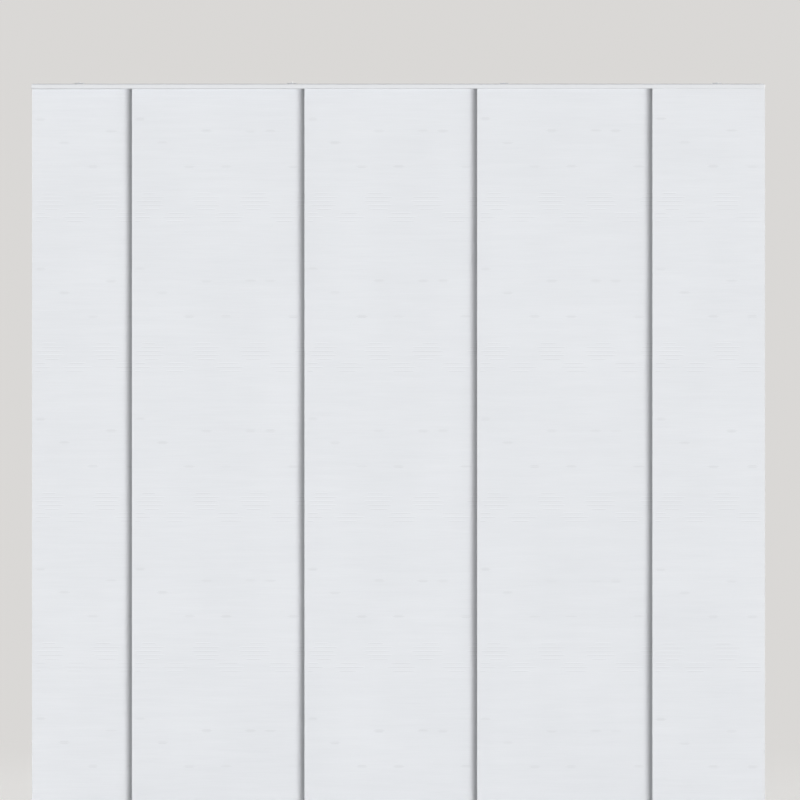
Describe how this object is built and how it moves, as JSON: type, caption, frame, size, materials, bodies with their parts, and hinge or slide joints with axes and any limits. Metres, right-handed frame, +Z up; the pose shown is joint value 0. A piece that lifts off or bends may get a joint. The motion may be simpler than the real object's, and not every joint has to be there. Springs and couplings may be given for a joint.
{
  "type": "panel track blind",
  "caption": "Panel track blind: flat white fabric panels on wheeled carriers that slide past one another in a shallow multi-channel wall track.",
  "frame": {"origin": "on the wall plane, at the middle of the outer brackets' wall screws, which is the middle of the track's length", "axes": "+X along the track to the right as seen from the room, +Y out of the room into the wall, +Z up"},
  "size_m": [2.3454, 0.1134, 2.3954],
  "materials": {
    "white_coat": "white satin powder coat on an aluminium extrusion",
    "bracket_coat": "white satin powder coat on pressed steel",
    "moulding": "white moulded plastic",
    "nylon": "grey nylon",
    "silver": "clear anodised",
    "steel": "zinc plated",
    "cloth": "cool white light-filtering slub weave",
    "tape": "white hook and loop tape"
  },
  "bodies": {
    "track": {"track": "white_coat", "left_end_cap": "moulding", "right_end_cap": "moulding", "clips": "steel", "clip_screws": "steel", "clip_nuts": "steel", "bracket_1": "bracket_coat", "bracket_2": "bracket_coat", "bracket_3": "bracket_coat", "bracket_4": "bracket_coat"},
    "panel_1": {"panel_1_carrier": "silver", "panel_1_carrier_caps": "moulding", "panel_1_trolleys": "moulding", "panel_1_hook_tape": "tape", "panel_1_loop_tape": "tape", "panel_1_fabric": "cloth", "panel_1_weight_bar": "silver", "panel_1_bar_caps": "moulding"},
    "panel_1_left_wheels": {"panel_1_left_wheels": "nylon"},
    "panel_1_right_wheels": {"panel_1_right_wheels": "nylon"},
    "panel_2": {"panel_2_carrier": "silver", "panel_2_carrier_caps": "moulding", "panel_2_trolleys": "moulding", "panel_2_hook_tape": "tape", "panel_2_loop_tape": "tape", "panel_2_fabric": "cloth", "panel_2_weight_bar": "silver", "panel_2_bar_caps": "moulding"},
    "panel_2_left_wheels": {"panel_2_left_wheels": "nylon"},
    "panel_2_right_wheels": {"panel_2_right_wheels": "nylon"},
    "panel_3": {"panel_3_carrier": "silver", "panel_3_carrier_caps": "moulding", "panel_3_trolleys": "moulding", "panel_3_hook_tape": "tape", "panel_3_loop_tape": "tape", "panel_3_fabric": "cloth", "panel_3_weight_bar": "silver", "panel_3_bar_caps": "moulding"},
    "panel_3_left_wheels": {"panel_3_left_wheels": "nylon"},
    "panel_3_right_wheels": {"panel_3_right_wheels": "nylon"},
    "panel_4": {"panel_4_carrier": "silver", "panel_4_carrier_caps": "moulding", "panel_4_trolleys": "moulding", "panel_4_hook_tape": "tape", "panel_4_loop_tape": "tape", "panel_4_fabric": "cloth", "panel_4_weight_bar": "silver", "panel_4_bar_caps": "moulding"},
    "panel_4_left_wheels": {"panel_4_left_wheels": "nylon"},
    "panel_4_right_wheels": {"panel_4_right_wheels": "nylon"},
    "panel_5": {"panel_5_carrier": "silver", "panel_5_carrier_caps": "moulding", "panel_5_trolleys": "moulding", "panel_5_hook_tape": "tape", "panel_5_loop_tape": "tape", "panel_5_fabric": "cloth", "panel_5_weight_bar": "silver", "panel_5_bar_caps": "moulding"},
    "panel_5_left_wheels": {"panel_5_left_wheels": "nylon"},
    "panel_5_right_wheels": {"panel_5_right_wheels": "nylon"}
  },
  "joints": [
    {"name": "panel_1_slide", "type": "slide", "parent": "track", "child": "panel_1", "axis": [1, 0, 0], "range_m": [0, 1.9855]},
    {"name": "panel_1_left_roll", "type": "hinge", "parent": "panel_1", "child": "panel_1_left_wheels", "pos_m": [-1.15235, -0.0407, 0.0131], "axis": [0, 1, 0], "continuous": true},
    {"name": "panel_1_right_roll", "type": "hinge", "parent": "panel_1", "child": "panel_1_right_wheels", "pos_m": [-0.83315, -0.0407, 0.0131], "axis": [0, 1, 0], "continuous": true},
    {"name": "panel_2_slide", "type": "slide", "parent": "track", "child": "panel_2", "axis": [1, 0, 0], "range_m": [-0.3205, 1.428]},
    {"name": "panel_2_left_roll", "type": "hinge", "parent": "panel_2", "child": "panel_2_left_wheels", "pos_m": [-0.83185, -0.0567, 0.0131], "axis": [0, 1, 0], "continuous": true},
    {"name": "panel_2_right_roll", "type": "hinge", "parent": "panel_2", "child": "panel_2_right_wheels", "pos_m": [-0.27565, -0.0567, 0.0131], "axis": [0, 1, 0], "continuous": true},
    {"name": "panel_3_slide", "type": "slide", "parent": "track", "child": "panel_3", "axis": [1, 0, 0], "range_m": [-0.873, 0.8755]},
    {"name": "panel_3_left_roll", "type": "hinge", "parent": "panel_3", "child": "panel_3_left_wheels", "pos_m": [-0.27935, -0.0727, 0.0131], "axis": [0, 1, 0], "continuous": true},
    {"name": "panel_3_right_roll", "type": "hinge", "parent": "panel_3", "child": "panel_3_right_wheels", "pos_m": [0.27685, -0.0727, 0.0131], "axis": [0, 1, 0], "continuous": true},
    {"name": "panel_4_slide", "type": "slide", "parent": "track", "child": "panel_4", "axis": [1, 0, 0], "range_m": [-1.4255, 0.323]},
    {"name": "panel_4_left_roll", "type": "hinge", "parent": "panel_4", "child": "panel_4_left_wheels", "pos_m": [0.27315, -0.0887, 0.0131], "axis": [0, 1, 0], "continuous": true},
    {"name": "panel_4_right_roll", "type": "hinge", "parent": "panel_4", "child": "panel_4_right_wheels", "pos_m": [0.82935, -0.0887, 0.0131], "axis": [0, 1, 0], "continuous": true},
    {"name": "panel_5_slide", "type": "slide", "parent": "track", "child": "panel_5", "axis": [1, 0, 0], "range_m": [-1.9855, 0]},
    {"name": "panel_5_left_roll", "type": "hinge", "parent": "panel_5", "child": "panel_5_left_wheels", "pos_m": [0.83315, -0.1047, 0.0131], "axis": [0, 1, 0], "continuous": true},
    {"name": "panel_5_right_roll", "type": "hinge", "parent": "panel_5", "child": "panel_5_right_wheels", "pos_m": [1.15235, -0.1047, 0.0131], "axis": [0, 1, 0], "continuous": true}
  ],
  "couplings": [
    {"joint": "panel_1_left_roll", "follows": "panel_1_slide", "rad_per_m": 250},
    {"joint": "panel_1_right_roll", "follows": "panel_1_slide", "rad_per_m": 250},
    {"joint": "panel_2_left_roll", "follows": "panel_2_slide", "rad_per_m": 250},
    {"joint": "panel_2_right_roll", "follows": "panel_2_slide", "rad_per_m": 250},
    {"joint": "panel_3_left_roll", "follows": "panel_3_slide", "rad_per_m": 250},
    {"joint": "panel_3_right_roll", "follows": "panel_3_slide", "rad_per_m": 250},
    {"joint": "panel_4_left_roll", "follows": "panel_4_slide", "rad_per_m": 250},
    {"joint": "panel_4_right_roll", "follows": "panel_4_slide", "rad_per_m": 250},
    {"joint": "panel_5_left_roll", "follows": "panel_5_slide", "rad_per_m": 250},
    {"joint": "panel_5_right_roll", "follows": "panel_5_slide", "rad_per_m": 250}
  ]
}
